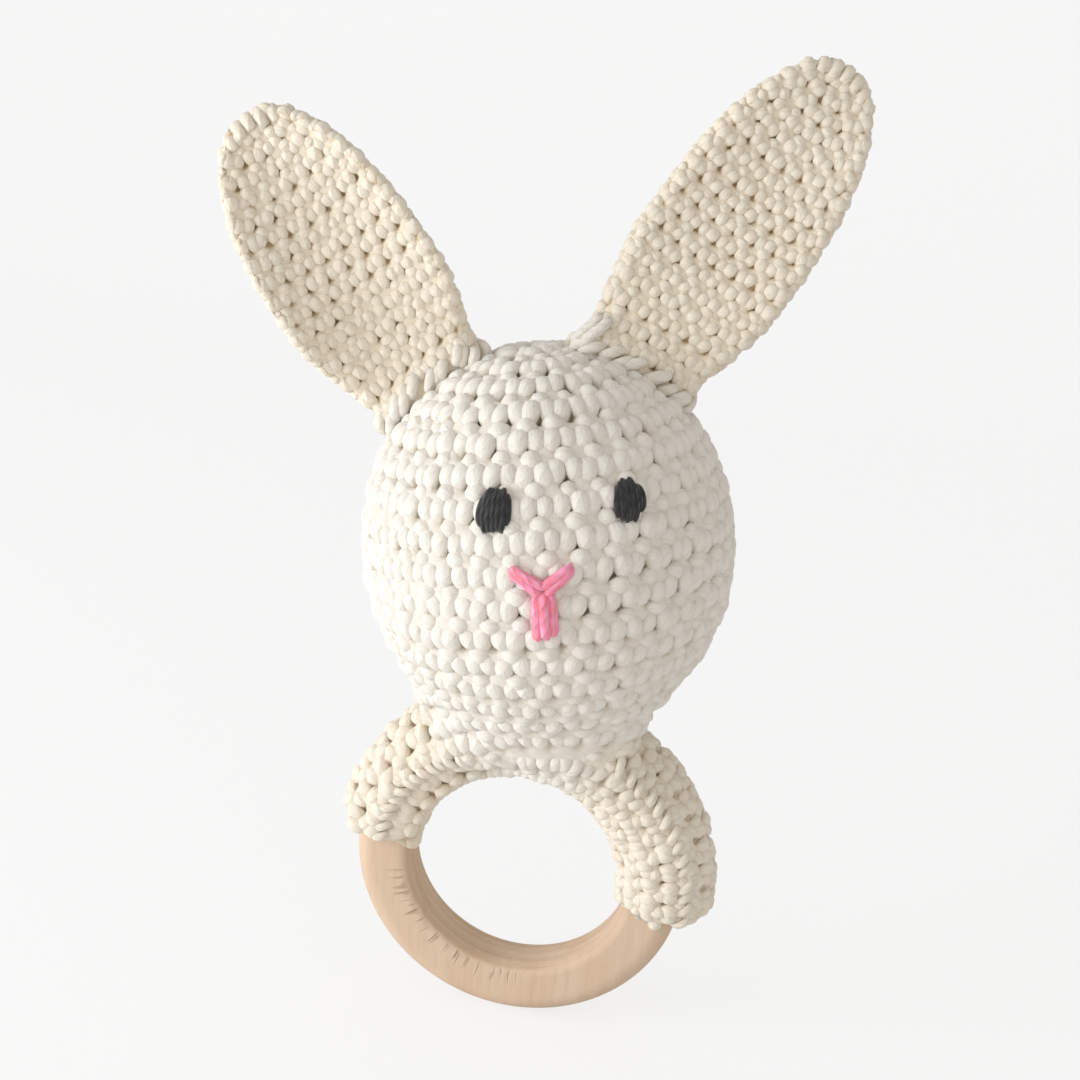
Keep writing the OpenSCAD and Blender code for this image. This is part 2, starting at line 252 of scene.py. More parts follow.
def crochet(mesh, surface, counts, yarn_r, keep, spiral=True, uneven=1.0, fit=None,
            lift=None, flat=HEAD_FLAT):
    """Lays rows of stitches on a surface. surface(u, v) gives points, normals and
    tones, with u once round the row and v counting rows. counts is each row's
    number of stitches, fit the yarn's thickness in it, keep(u, v) which stitches
    are wanted, lift(points) how far yarn is raised, and flat its height over width."""
    fit = np.ones(len(counts)) if fit is None else np.array(fit)
    for strand, samples, swells in STRANDS:
        curve = spline(strand, samples)
        u0, v0, width, thin = [], [], [], []
        for row, count in enumerate(counts):
            u = (np.arange(count) + (ROW_SHIFT * row) % 1) / count
            u0.append(u)
            v0.append(row + (u % 1 if spiral else 0 * u))
            width.append(np.full(count, 1 / count))
            thin.append(np.full(count, fit[row]))
        u0, v0, width, thin = (np.concatenate(x) for x in (u0, v0, width, thin))
        wanted = keep(u0, v0)
        u0, v0, width, thin = u0[wanted], v0[wanted], width[wanted], thin[wanted]
        wobble = random.normal(0, 1, (len(u0), 5)) * uneven
        s = curve[None, :, 0] * (1 + WIDTH_WOBBLE * wobble[:, 0:1]) + PLACE_WOBBLE * wobble[:, 1:2]
        t = curve[None, :, 1] + PLACE_WOBBLE * wobble[:, 2:3]
        h = (curve[None, :, 2] + HEIGHT_WOBBLE * wobble[:, 3:4]) * yarn_r
        point, normal, tone = surface(u0[:, None] + s * width[:, None], v0[:, None] + t)
        swell = np.interp(np.linspace(0, 1, samples), np.linspace(0, 1, 5), swells)
        radii = yarn_r * thin[:, None] * swell[None, :] * (1 + THICK_WOBBLE * wobble[:, 4:5])
        centre = point + normal * (h * thin[:, None])[..., None]
        if lift is not None:
            centre = centre + normal * lift(centre)[..., None]
        add_tubes(mesh, centre, normal, radii, tone, h, sides=STITCH_SIDES, flat=flat)


def hole_pit(stitches, near, row):
    """1 in the middle of a stitch's hole and 0 away from it. stitches counts them up
    to each point of the row, and near is the row whose hole is nearest."""
    phase = stitches - HOLE[0]
    phase -= np.round(phase)
    return np.exp(-(phase / HOLE_W) ** 2 - ((row - near - HOLE[1]) / HOLE_H) ** 2)


BACKING_STEPS = 6


def backing(mesh, surface, counts, yarn_r, low, high):
    """The fabric behind the stitches' legs, with a pit for the hole beside each. Its
    last row is gathered in one point."""
    columns = max(counts) * BACKING_STEPS
    v_line = np.linspace(low, high, int((high - low) * BACKING_STEPS) + 1)
    u, v = np.meshgrid(np.arange(columns) / columns, v_line)
    row = v - u
    near = np.round(row - HOLE[1]).astype(int)
    real = np.clip(near, 0, len(counts) - 1)
    pit = hole_pit(u * np.array(counts)[real] - (ROW_SHIFT * real) % 1, near, row)
    h = -yarn_r * (0.85 + 2.1 * pit)
    point, normal, tone = surface(u, v)
    points = point + normal * h[..., None]
    points[-1] = points[-1].mean(axis=0)
    # The depth given for the colour sinks 0.8 mm further in the pits, so the wool's painted shade is
    # darkest in the holes.
    add_grid(mesh, points, h - 0.8 * pit, tone)


# ---- the object's surfaces

HEAD_TURNS = turn(-HEAD_LEAN, -HEAD_ROLL, HEAD_TURN)
HEAD_CENTRE = np.array([0, 0, mm_box("head_cover")[1][2] - CROWN_OVER_CENTRE])


def head_rho(polar):
    """Distance from the head's centre to its surface, at an angle from the crown."""
    n = np.where(polar > np.pi / 2, FULL_DOWN, FULL_UP)
    h = np.where(polar > np.pi / 2, HEAD_DOWN, HEAD_UP)
    return ((np.abs(np.sin(polar)) / HEAD_R) ** n + (np.abs(np.cos(polar)) / h) ** n) ** (-1 / n)


def head_gap(p):
    """Distance of a point outside the head's surface."""
    q = (p - HEAD_CENTRE) @ HEAD_TURNS
    r = np.linalg.norm(q, axis=-1)
    return r - head_rho(np.arccos(np.clip(q[..., 2] / np.maximum(r, 1e-9), -1, 1)))


def wood_gap(x, y):
    """Distance outside the wood's section, from its middle."""
    edge = np.where(x < 0, RING_INNER_EDGE_R, RING_OUTER_EDGE_R)
    q = np.stack([np.abs(x) - RING_W / 2, np.abs(y) - RING_T / 2], axis=-1) + edge[..., None]
    return np.linalg.norm(np.maximum(q, 0), axis=-1) + np.minimum(q.max(axis=-1), 0) - edge


def wood_reach():
    """Distance from the sleeve's middle line to the wood's face, all round the section."""
    around = np.linspace(-np.pi, np.pi, 91)
    t = np.linspace(0, 12, 481)[:, None]
    inside = wood_gap(t * np.cos(around) + SLEEVE_MID_R - RING_MID_R, t * np.sin(around)) < 0
    return around, t[inside.sum(axis=0), 0]


WOOD_AROUND, WOOD_REACH = wood_reach()
# The sleeve's radius, its gain on the right arm and loss on the far left, and how far
# its ends are rounded and how thick they close.
SLEEVE_R, RIGHT_GAIN, LEFT_LOSS = 7.5, 1.0, 0.25
END_ROUND, END_THICK = 3.4, 1.1


def sleeve_r(along, around):
    """Radius of the sleeve's section at an angle along the ring in degrees and one
    round the section. It is fuller on the right, and closes to the wood at its ends."""
    full = (SLEEVE_R + RIGHT_GAIN * smooth_step(-5, 55, along)
            - LEFT_LOSS * smooth_step(-40, -80, along))
    limit = np.where(along > 0, SLEEVE_RIGHT_A, SLEEVE_LEFT_A)
    left = np.radians(limit - np.abs(along)) * SLEEVE_MID_R / END_ROUND
    shut = 1 - np.sqrt(1 - np.clip(1 - left, 0, 1) ** 2)
    closed = np.interp(around, WOOD_AROUND, WOOD_REACH) + END_THICK
    return full + (closed - full) * shut


def sleeve_gap(p):
    """Distance of a point outside the sleeve's surface."""
    along = np.degrees(np.arctan2(p[..., 0], p[..., 2]))
    out = np.hypot(p[..., 0], p[..., 2]) - SLEEVE_MID_R
    return np.hypot(out, p[..., 1]) - sleeve_r(along, np.arctan2(p[..., 1], out))


BACK_BLEND, CHIN_BLEND = 6, 11


def both_gap(p):
    """Distance outside head and sleeve together, with the crease between filled,
    most of all in front, under the chin."""
    a, b = head_gap(p), sleeve_gap(p)
    blend = BACK_BLEND + CHIN_BLEND * smooth_step(2, 9, -p[..., 1])
    k = np.maximum(blend - np.abs(a - b), 0) / blend
    return np.minimum(a, b) - k * k * blend / 4


def gradient(gap, p, step=0.05):
    """Unit vector along which gap grows fastest."""
    moves = step * np.eye(3)
    return unit(np.stack([gap(p + move) - gap(p - move) for move in moves], axis=-1))


MARCH_TRIES = 22


def march(gap, start, direction, low, high):
    """The distance from start along direction at which gap turns positive."""
    low = np.broadcast_to(low, start.shape[:-1]).astype(float).copy()
    high = np.broadcast_to(high, start.shape[:-1]).astype(float).copy()
    for _ in range(MARCH_TRIES):
        mid = (low + high) / 2
        outside = gap(start + mid[..., None] * direction) > 0
        high = np.where(outside, mid, high)
        low = np.where(outside, low, mid)
    return (low + high) / 2


def head_direction(azimuth, polar):
    """Direction from the head's centre, by angles from its face and its crown."""
    local = [np.sin(polar) * np.sin(azimuth), -np.sin(polar) * np.cos(azimuth), np.cos(polar)]
    return np.stack(local, axis=-1) @ HEAD_TURNS.T


def head_hit(direction, polar):
    """Where a ray from the head's centre leaves head and sleeve."""
    start = np.broadcast_to(HEAD_CENTRE, direction.shape)
    rho = head_rho(polar)
    return start, march(both_gap, start, direction, rho - 1, rho + 4)


HEAD_ROWS = 16
LOWEST = math.radians(161)
CREASE = 0.4
HEAD_OVER_SLEEVE, SLEEVE_OVER_HEAD = 3.0, 4.0


def head_point(u, v):
    """u runs once round the head from its back and v counts rows from the neck."""
    azimuth = 2 * np.pi * u + np.pi
    polar = np.clip(LOWEST * (1 - v / (HEAD_ROWS + 0.6)), 0.01, None)
    direction = head_direction(azimuth, polar)
    start, distance = head_hit(direction, polar)
    return start + distance[..., None] * direction


def head_surface(u, v):
    point = head_point(u, v)
    return point, gradient(both_gap, point), np.ones(u.shape)


def clear_of_sleeve(u, v):
    """Whether a stitch lies on the head's side of the crease or just past it."""
    point = head_point(u, v + CREASE)
    return head_gap(point) < sleeve_gap(point) + HEAD_OVER_SLEEVE


def counts_of(point, rows, width):
    """Each row's number of stitches, as many as its girth takes, and how well they fit."""
    counts, fit = [], []
    u = np.linspace(0, 1, 73)
    for row in range(rows):
        steps = np.diff(point(u, np.full(73, row + 0.5)), axis=0)
        girth = np.linalg.norm(steps, axis=1).sum()
        counts.append(max(6, int(round(girth / width))))
        fit.append(min(max(girth / counts[-1] / width, 0.4), 1.1))
    return counts, fit


SEAM_LEFT, SEAM_RIGHT = -102, -58


def seam_around(along):
    """Angle round the section, from outward to behind, at which the sleeve is sewn up."""
    return SEAM_LEFT + (SEAM_RIGHT - SEAM_LEFT) * smooth_step(-40, 45, along)


def off_the_wood(room):
    """How far points have to be raised to stay room clear of the wood."""
    def lift(p):
        out = np.hypot(p[..., 0], p[..., 2]) - RING_MID_R
        return np.maximum(room - wood_gap(out, p[..., 1]), 0)
    return lift


# Where white turns to cream, in degrees to each side of the sleeve's middle.
WHITE_MIDDLE, WHITE_TO, CREAM_FROM = 1, 10, 42


def whiteness(along):
    return 1 - smooth_step(WHITE_TO, CREAM_FROM, np.abs(along - WHITE_MIDDLE))


class Arm:
    """One arm's surface. u runs along the ring from the left, and v counts rows round
    the section from the seam, over the outside, behind and through the hole."""

    def __init__(self, low, high, stitches, rows):
        self.low, self.high, self.stitches, self.rows = low, high, stitches, rows

    def point(self, u, v):
        along = self.low + (self.high - self.low) * u
        around = np.radians(seam_around(along)) + 2 * np.pi * v / self.rows
        return on_sleeve(along, around)

    def surface(self, u, v):
        point = self.point(u, v)
        along = self.low + (self.high - self.low) * u
        return point, gradient(both_gap, point), whiteness(along) * np.ones(np.shape(v))

    def shows(self, u, v):
        """Whether a stitch lies on the sleeve's side of the crease, or just past it."""
        point = self.point(u + 0.3 / self.stitches, v + CREASE)
        near = sleeve_gap(point) < head_gap(point) + SLEEVE_OVER_HEAD
        return near & (u > -0.001) & (u < 1 - 0.5 / self.stitches)


def on_sleeve(along, around, lift=0.0):
    """A point of the sleeve's surface at degrees along the ring and radians round."""
    a = np.radians(along)
    outward = np.stack([np.sin(a), 0 * a, np.cos(a)], axis=-1)
    back = np.array([0.0, 1.0, 0.0])
    direction = np.cos(around)[..., None] * outward + np.sin(around)[..., None] * back
    start = SLEEVE_MID_R * outward + 0 * direction
    r = sleeve_r(along, (around + np.pi) % (2 * np.pi) - np.pi)
    distance = march(both_gap, start, direction, np.maximum(r - 2.5, 1), r + 5)
    return start + (distance + lift)[..., None] * direction


# ---- ears

def node_points(node):
    """A CAD node's vertices in millimetres."""
    data = frame["nodes"][node].data
    points = np.empty(len(data.vertices) * 3)
    data.vertices.foreach_get("co", points)
    return points.reshape(-1, 3) / MM


# Where the ear is widest, as a share of its length, the powers that round its tip and
# its thickness, and where rows begin and how far from the last one they end.
EAR_WIDEST, EAR_TIP_N, EAR_THIN_N = 0.3, 2.7, 8
EAR_LOW, EAR_END = -1.2, 0.03
BASE_SHARE = 0.065
BASE_OVERLAP = 3.0
TABLE_STEPS = 120


class Ear:
    """An ear's frame, read from its hinge and its CAD solid, and its outer surface.
    X is the hinge line, Z runs to the tip and the hollow front faces -Y."""

    def __init__(self, side, cup, rows):
        joint = next(j for j in frame["joints"] if j["name"] == side + "_ear_flop")
        self.hinge = np.array(joint["pos_m"], float) / MM
        points = node_points("ear_" + side) - self.hinge
        x = unit(np.array(joint["axis"], float))
        tip = points[np.argmax(np.linalg.norm(points, axis=1))]
        z = unit(tip - (tip @ x) * x)
        self.axes = np.stack([x, np.cross(z, x), z])
        self.length = (points @ z).max() + 0.1
        self.cup, self.rows = cup, rows
        self.outline()
        self.find_base()
        self.even_out()

    def half_w(self, z):
        grow = np.sin(np.pi / 2 * np.clip(z / (EAR_WIDEST * self.length), 0, 1))
        past = np.clip((z / self.length - EAR_WIDEST) / (1 - EAR_WIDEST), 0, 1)
        return (EAR_BASE_W + (EAR_W - EAR_BASE_W) * grow) / 2 * np.sqrt(1 - past ** EAR_TIP_N)

    def half_t(self, z):
        share = np.clip(z / self.length, 0, 1)
        return EAR_T / 2 * np.sqrt(np.clip(1 - share ** EAR_THIN_N, 0, 1))

    def outline(self):
        """Height of the outline against its own length, so that rows stay evenly spaced."""
        z = self.length * np.sin(np.linspace(0, np.pi / 2, 400))
        step = np.hypot(np.diff(z), np.diff(self.half_w(z)))
        run = np.concatenate([[0], np.cumsum(step)])
        self.edge_z, self.edge_run = z, run / run[-1]

    def shape(self, angle, v):
        """A point of the surface in the ear's frame. angle goes round the section, and
        the rows sag between the edges near the tip, where they end in a small ring."""
        share = v / self.rows
        share = share - BASE_SHARE * (1 - share)
        middle = self.length * share
        edge = np.interp(share, self.edge_run, self.edge_z) + np.minimum(share, 0) * self.length
        edge = np.minimum(edge, self.length)
        c, s = np.cos(angle), np.sin(angle)
        z = middle + (edge - middle) * c * c
        z_in = np.clip(z, 0, self.length * 0.9995)
        x = self.half_w(np.clip(edge, 0, self.length)) * c
        thick = self.half_t(z_in)
        inward = np.clip(1 - (self.half_w(z_in) - np.abs(x)) / thick, 0, 1)
        flat = np.sqrt(1 - inward ** 2)
        thin = 1 - 0.035 * self.cup * (1 - (x / (EAR_W / 2)) ** 2) * smooth_step(0, 12, z)
        y = thick * np.sign(s) * flat * thin
        y = y - 1.15 * self.cup * np.sin(np.pi / 2 * np.clip(z / 16, 0, 1)) * (x / (EAR_W / 2)) ** 2
        flare = smooth_step(3.0, -3.5, z)
        z = z + self.base_shift(angle) * (1 - smooth_step(-3, 10, z))
        return np.stack([x * (1 + 0.09 * flare), y + 1.1 * flare * np.sign(s) * flat, z], axis=-1)

    def base_shift(self, angle):
        if self.base_z is None:
            return 0
        return np.interp(angle % (2 * np.pi), self.base_angle, self.base_z)

    def find_base(self):
        """How far each side of the base goes down to reach the head."""
        self.base_z = None
        self.base_angle = np.linspace(0, 2 * np.pi, 73)
        base_v = np.full(73, self.rows * BASE_SHARE / (1 + BASE_SHARE))
        start = self.place(self.shape(self.base_angle, base_v))
        down = np.broadcast_to(-self.axes[2], start.shape)
        reach = march(lambda p: -head_gap(p), start, down, 0.0, 12.0)
        self.base_z = BASE_OVERLAP - reach

    def place(self, local):
        return self.hinge + local @ self.axes

    def even_out(self):
        """A table of section angles at even steps of length round each row."""
        self.v_line = np.linspace(EAR_LOW, self.rows - EAR_END, 90)
        angle = np.linspace(0, 2 * np.pi, 181) + np.pi / 2
        share = np.linspace(0, 1, TABLE_STEPS + 1)
        self.table = []
        for v in self.v_line:
            p = self.shape(angle, np.full(len(angle), v))
            step = np.linalg.norm(np.diff(p, axis=0), axis=1) + 1e-6
            run = np.concatenate([[0], np.cumsum(step)])
            self.table.append(np.interp(share, run / run[-1], angle))
        self.table = np.array(self.table)

    def angle(self, u, v):
        """The section angle at u, read from the table between its rows and columns."""
        turns = np.floor(u)
        row = np.interp(v, self.v_line, np.arange(len(self.v_line)))
        low = np.clip(row.astype(int), 0, len(self.v_line) - 2)
        column = (u - turns) * TABLE_STEPS
        left = np.clip(column.astype(int), 0, TABLE_STEPS - 1)
        f, g = row - low, column - left
        t = self.table
        both = [(1 - g) * t[low + i, left] + g * t[low + i, left + 1] for i in (0, 1)]
        return (1 - f) * both[0] + f * both[1] + 2 * np.pi * turns

    def point(self, u, v):
        v = np.clip(v, EAR_LOW, self.rows - EAR_END)
        return self.place(self.shape(self.angle(u, v), v))

    def surface(self, u, v):
        return self.point(u, v), face_normal(self.point, u, v), np.ones(np.shape(u))


def face_normal(point, u, v, du=0.004, dv=0.06):
    """Outward normal of a surface from its points on either side."""
    across = point(u + du, v) - point(u - du, v)
    up = point(u, v + dv) - point(u, v - dv)
    return unit(np.cross(across, up))


# ---- materials

def node_material(name):
    material = bpy.data.materials.new(name)
    material.use_nodes = True
    tree = material.node_tree
    return material, tree, tree.nodes["Principled BSDF"]


def plug(tree, value, socket):
    """Sets a constant on the socket itself, or links what isn't a constant."""
    if isinstance(value, (int, float)):
        socket.default_value = value
    elif isinstance(value, tuple):
        socket.default_value = (*value, 1)
    else:
        tree.links.new(value, socket)


def math_node(tree, operation, *values):
    node = tree.nodes.new("ShaderNodeMath")
    node.operation = operation
    for value, socket in zip(values, node.inputs):
        plug(tree, value, socket)
    return node.outputs[0]


def multiply(tree, a, b):
    return math_node(tree, "MULTIPLY", a, b)


def combine(tree, *values):
    """One vector from two or three values."""
    node = tree.nodes.new("ShaderNodeCombineXYZ")
    for value, socket in zip(values, node.inputs):
        plug(tree, value, socket)
    return node.outputs[0]


def separate(tree, vector):
    node = tree.nodes.new("ShaderNodeSeparateXYZ")
    tree.links.new(vector, node.inputs[0])
    return node.outputs


def colour_ramp(tree, value, stops):
    node = tree.nodes.new("ShaderNodeValToRGB")
    ramp = node.color_ramp
    for i, (place, colour) in enumerate(stops):
        element = ramp.elements[i] if i < 2 else ramp.elements.new(place)
        element.position = place
        element.color = (*colour, 1)
    tree.links.new(value, node.inputs[0])
    return node.outputs[0]


def mix_colour(tree, share, a, b, blend="MIX"):
    node = tree.nodes.new("ShaderNodeMix")
    node.data_type = "RGBA"
    node.blend_type = blend
    for value, number in ((share, 0), (a, 6), (b, 7)):
        plug(tree, value, node.inputs[number])
    return node.outputs[2]


def noise(tree, vector, scale, detail=3.0, roughness=0.55):
    node = tree.nodes.new("ShaderNodeTexNoise")
    node.inputs["Scale"].default_value = scale
    node.inputs["Detail"].default_value = detail
    node.inputs["Roughness"].default_value = roughness
    tree.links.new(vector, node.inputs["Vector"])
    return node.outputs["Fac"]


def attribute(tree, name):
    node = tree.nodes.new("ShaderNodeAttribute")
    node.attribute_name = name
    return node.outputs["Fac"]


def object_place(tree, scale=(1, 1, 1), rotation=(0, 0, 0)):
    place = tree.nodes.new("ShaderNodeTexCoord")
    mapping = tree.nodes.new("ShaderNodeMapping")
    mapping.inputs["Scale"].default_value = scale
    mapping.inputs["Rotation"].default_value = [math.radians(a) for a in rotation]
    tree.links.new(place.outputs["Object"], mapping.inputs["Vector"])
    return mapping.outputs["Vector"]


def yarn_uv(tree):
    """Length along the yarn in millimetres, and share of the way round it."""
    uv = tree.nodes.new("ShaderNodeUVMap")
    uv.uv_map = "yarn"
    return separate(tree, uv.outputs["UV"])[:2]


def ply_height(tree, plies, pitch):
    """Rounded ridges of the twisted plies, from 0 in the grooves to 1 on top."""
    length, around = yarn_uv(tree)
    turns = math_node(tree, "ADD", around, math_node(tree, "DIVIDE", length, float(pitch)))
    wave = math_node(tree, "SINE", multiply(tree, turns, math.pi * plies))
    return math_node(tree, "POWER", math_node(tree, "ABSOLUTE", wave), 0.7)


def fibre_noise(tree, along=0.9, around=26.0):
    """Fine streaks along the yarn."""
    length, turn_share = yarn_uv(tree)
    place = combine(tree, multiply(tree, length, along), multiply(tree, turn_share, around))
    return noise(tree, place, 1.0, 4.0, 0.65)


def add_bump(tree, shader, height, distance, after=None):
    bump = tree.nodes.new("ShaderNodeBump")
    bump.inputs["Distance"].default_value = distance
    bump.inputs["Strength"].default_value = 1.0
    tree.links.new(height, bump.inputs["Height"])
    if after is not None:
        tree.links.new(after, bump.inputs["Normal"])
    tree.links.new(bump.outputs["Normal"], shader.inputs["Normal"])
    return bump.outputs["Normal"]


def wool(name, light, shaded, white=None, white_shaded=None, low=-3.0, high=-0.4):
    """Soft matt yarn. Colour goes from a painted shade, where the mesh's depth is low in holes,
    recesses and under strands, to the yarn's own colour on top, and from the cream pair to the white
    pair by the mesh's tone."""
    material, tree, shader = node_material(name)
    depth = attribute(tree, "depth")
    lift = math_node(tree, "DIVIDE", math_node(tree, "SUBTRACT", depth, low), high - low)
    # Painted shade: where the yarn lies low, the colour turns to the shaded colour.
    colour = colour_ramp(tree, lift, ((0, shaded), (1, light)))
    if white is not None:
        other = colour_ramp(tree, lift, ((0, white_shaded), (1, white)))
        colour = mix_colour(tree, attribute(tree, "tone"), colour, other)
    patches = noise(tree, object_place(tree), 70.0, 2.0)
    shade = colour_ramp(tree, patches, ((0.3, (0.955, 0.95, 0.935)), (0.7, (1, 1, 1))))
    colour = mix_colour(tree, 1.0, colour, shade, "MULTIPLY")
    plies = ply_height(tree, 4, 7.0)
    # Painted shade in the grooves between the plies, a few percent darker.
    grooves = colour_ramp(tree, plies, ((0.0, (0.95, 0.94, 0.925)), (0.55, (1, 1, 1))))
    colour = mix_colour(tree, 1.0, colour, grooves, "MULTIPLY")
    tree.links.new(colour, shader.inputs["Base Color"])
    shader.inputs["Roughness"].default_value = 0.92
    shader.inputs["Specular IOR Level"].default_value = 0.12
    shader.inputs["Sheen Weight"].default_value = 0.3
    shader.inputs["Sheen Roughness"].default_value = 0.5
    first = add_bump(tree, shader, plies, 0.00008)
    second = add_bump(tree, shader, fibre_noise(tree), 0.00016, after=first)
    add_bump(tree, shader, noise(tree, object_place(tree), 2600.0, 3.0, 0.7), 0.00010, after=second)
    return material


def embroidery(name, dark, light, sheen):
    """Stranded yarn of the face: fine streaks along each stitch."""
    material, tree, shader = node_material(name)
    streaks = fibre_noise(tree, 0.25, 9.0)
    colour = colour_ramp(tree, streaks, ((0.38, dark), (0.66, light)))
    tree.links.new(colour, shader.inputs["Base Color"])
    shader.inputs["Roughness"].default_value = 0.7
    shader.inputs["Specular IOR Level"].default_value = 0.2
    shader.inputs["Sheen Weight"].default_value = sheen
    first = add_bump(tree, shader, ply_height(tree, 3, 6.0), 0.00015)
    add_bump(tree, shader, fibre_noise(tree), 0.00008, after=first)
    return material


GRAIN_TURN = 38


def wood_grain(tree):
    """Pale straight grain that crosses the ring, and its fine pores as a height."""
    turned = (0, GRAIN_TURN, 0)
    fine = noise(tree, object_place(tree, (900, 900, 60), turned), 1.0, 5.0, 0.6)
    wide = noise(tree, object_place(tree, (160, 160, 14), turned), 1.0, 3.0, 0.5)
    light, dark = (0.695, 0.54, 0.403), (0.65, 0.485, 0.352)
    colour = colour_ramp(tree, wide, ((0.30, dark), (0.72, light)))
    pores = colour_ramp(tree, fine, ((0.34, (0.94, 0.92, 0.90)), (0.56, (1, 1, 1))))
    return mix_colour(tree, 1.0, colour, pores, "MULTIPLY"), fine


def hole_range(tree, radius, low, high):
    """0 to 1 between two distances from the hole's wall into the wood."""
    return map_range(tree, radius, (RING_HOLE_R + low) * MM, (RING_HOLE_R + high) * MM)


def tool_marks(tree, colour, x, y, z, radius):
    """Darkens colour with fine lines round the inner wall, and gives their height."""
    inner = hole_range(tree, radius, 1.3, 0.3)
    place = combine(tree, multiply(tree, y, 900.0), multiply(tree, x, 12.0), multiply(tree, z, 12.0))
    lines = noise(tree, place, 1.0, 3.0, 0.6)
    marks = colour_ramp(tree, lines, ((0.35, (0.80, 0.73, 0.66)), (0.6, (1, 1, 1))))
    marked = mix_colour(tree, 1.0, colour, marks, "MULTIPLY")
    return mix_colour(tree, multiply(tree, inner, 0.8), colour, marked), multiply(tree, lines, inner)


def torn_ticks(tree, radius, angle):
    """Short ticks where end grain meets the inner edge, as a share from 0 to 1."""
    place = combine(tree, multiply(tree, angle, 22.0), multiply(tree, radius, 90.0))
    torn = noise(tree, place, 1.0, 2.0, 0.6)
    edge = multiply(tree, hole_range(tree, radius, 0.5, 1.3), hole_range(tree, radius, 4.2, 1.8))
    from_grain = math_node(tree, "SUBTRACT", angle, math.radians(GRAIN_TURN) - math.pi / 2)
    ends = math_node(tree, "ABSOLUTE", math_node(tree, "SINE", from_grain))
    here = multiply(tree, edge, map_range(tree, ends, 0.62, 0.9))
    return multiply(tree, here, map_range(tree, torn, 0.53, 0.66))


def ring_wood():
    """Sanded hardwood with straight grain, tool marks and torn end grain."""
    material, tree, shader = node_material("ring_wood")
    colour, pores = wood_grain(tree)
    x, y, z = separate(tree, tree.nodes.new("ShaderNodeTexCoord").outputs["Object"])
    squares = math_node(tree, "ADD", multiply(tree, x, x), multiply(tree, z, z))
    radius = math_node(tree, "SQRT", squares)
    colour, lines = tool_marks(tree, colour, x, y, z, radius)
    ticks = torn_ticks(tree, radius, math_node(tree, "ARCTAN2", x, z))
    colour = mix_colour(tree, multiply(tree, ticks, 0.45), colour, (0.36, 0.23, 0.13))
    tree.links.new(colour, shader.inputs["Base Color"])
    shader.inputs["Roughness"].default_value = 0.56
    shader.inputs["Specular IOR Level"].default_value = 0.35
    first = add_bump(tree, shader, pores, 0.00006)
    second = add_bump(tree, shader, lines, 0.00012, after=first)
    add_bump(tree, shader, multiply(tree, ticks, -1.0), 0.00025, after=second)
    return material


def map_range(tree, value, low, high):
    """0 at low and 1 at high, with a smooth step between."""
    node = tree.nodes.new("ShaderNodeMapRange")
    node.interpolation_type = "SMOOTHSTEP"
    tree.links.new(value, node.inputs["Value"])
    node.inputs["From Min"].default_value = low
    node.inputs["From Max"].default_value = high
    return node.outputs[0]


# The second colour of each pair is painted shade, for yarn lying low in holes, recesses and under
# strands.
WHITE, WHITE_SHADED = (0.88, 0.85, 0.795), (0.66, 0.57, 0.44)
CREAM, CREAM_SHADED = (0.88, 0.81, 0.70), (0.70, 0.58, 0.42)
BLACK_WOOL = embroidery("black_wool", (0.022, 0.022, 0.024), (0.05, 0.05, 0.053), 0.25)
PINK_WOOL = embroidery("pink_wool", (1.0, 0.23, 0.30), (0.95, 0.45, 0.68), 0.3)


# ---- pieces

def make_head():
    counts, fit = counts_of(head_point, HEAD_ROWS, HEAD_STITCH_W)
    mesh = Mesh()
    crochet(mesh, head_surface, counts, YARN_R, clear_of_sleeve, fit=fit)
    backing(mesh, head_surface, counts, YARN_R, low=-0.4, high=HEAD_ROWS + 0.55)
    head = mesh.make("head_crochet", wool("white_wool", WHITE, WHITE_SHADED))
    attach(head, "bunny")
    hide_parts("head_cover", "head_filling")


# Where the arms meet along the ring, and how far yarn, in its own radii, and the
# backing, in millimetres, stay off the wood.
ARMS_MEET = -4
YARN_ROOM, BACKING_ROOM = 0.75, 0.25


def make_sleeve():
    mesh = Mesh()
    for arm, yarn_r in ((Arm(-SLEEVE_LEFT_A, ARMS_MEET, 8, 10), LEFT_ARM_YARN_R),
                        (Arm(ARMS_MEET, SLEEVE_RIGHT_A, 13, 13), RIGHT_ARM_YARN_R)):
        counts = [arm.stitches] * arm.rows
        crochet(mesh, arm.surface, counts, yarn_r, arm.shows, spiral=False, uneven=1.5,
                lift=off_the_wood(YARN_ROOM * yarn_r))
        arm_backing(mesh, arm, yarn_r)
    sleeve = mesh.make("sleeve_crochet", wool("sleeve_wool", CREAM, CREAM_SHADED, WHITE, WHITE_SHADED))
    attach(sleeve, "bunny")
    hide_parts("ring_sleeve")


def arm_backing(mesh, arm, yarn_r):
    """One arm's inner fabric, closed round the wood at its end."""
    around = np.arange(arm.rows * BACKING_STEPS) / BACKING_STEPS
    u, v = np.meshgrid(np.linspace(0, 1, arm.stitches * 7), around)
    near = np.round(v - HOLE[1]).astype(int)
    pit = hole_pit(u * arm.stitches - (ROW_SHIFT * (near % arm.rows)) % 1, near, v)
    end = smooth_step(0.04, 0, u) if arm.low < ARMS_MEET else smooth_step(0.96, 1, u)
    h = -yarn_r * (0.95 + 1.8 * pit) * (1 - end) - 0.6 * end
    point, normal, tone = arm.surface(u, v)
    points = point + normal * h[..., None]
    points = points + normal * off_the_wood(BACKING_ROOM)(points)[..., None]
    # The depth given for the colour sinks 1.2 mm further in the pits, for darker painted shade in the
    # holes.
    add_grid(mesh, points.swapaxes(0, 1), (h - 1.2 * pit).T, tone.T)


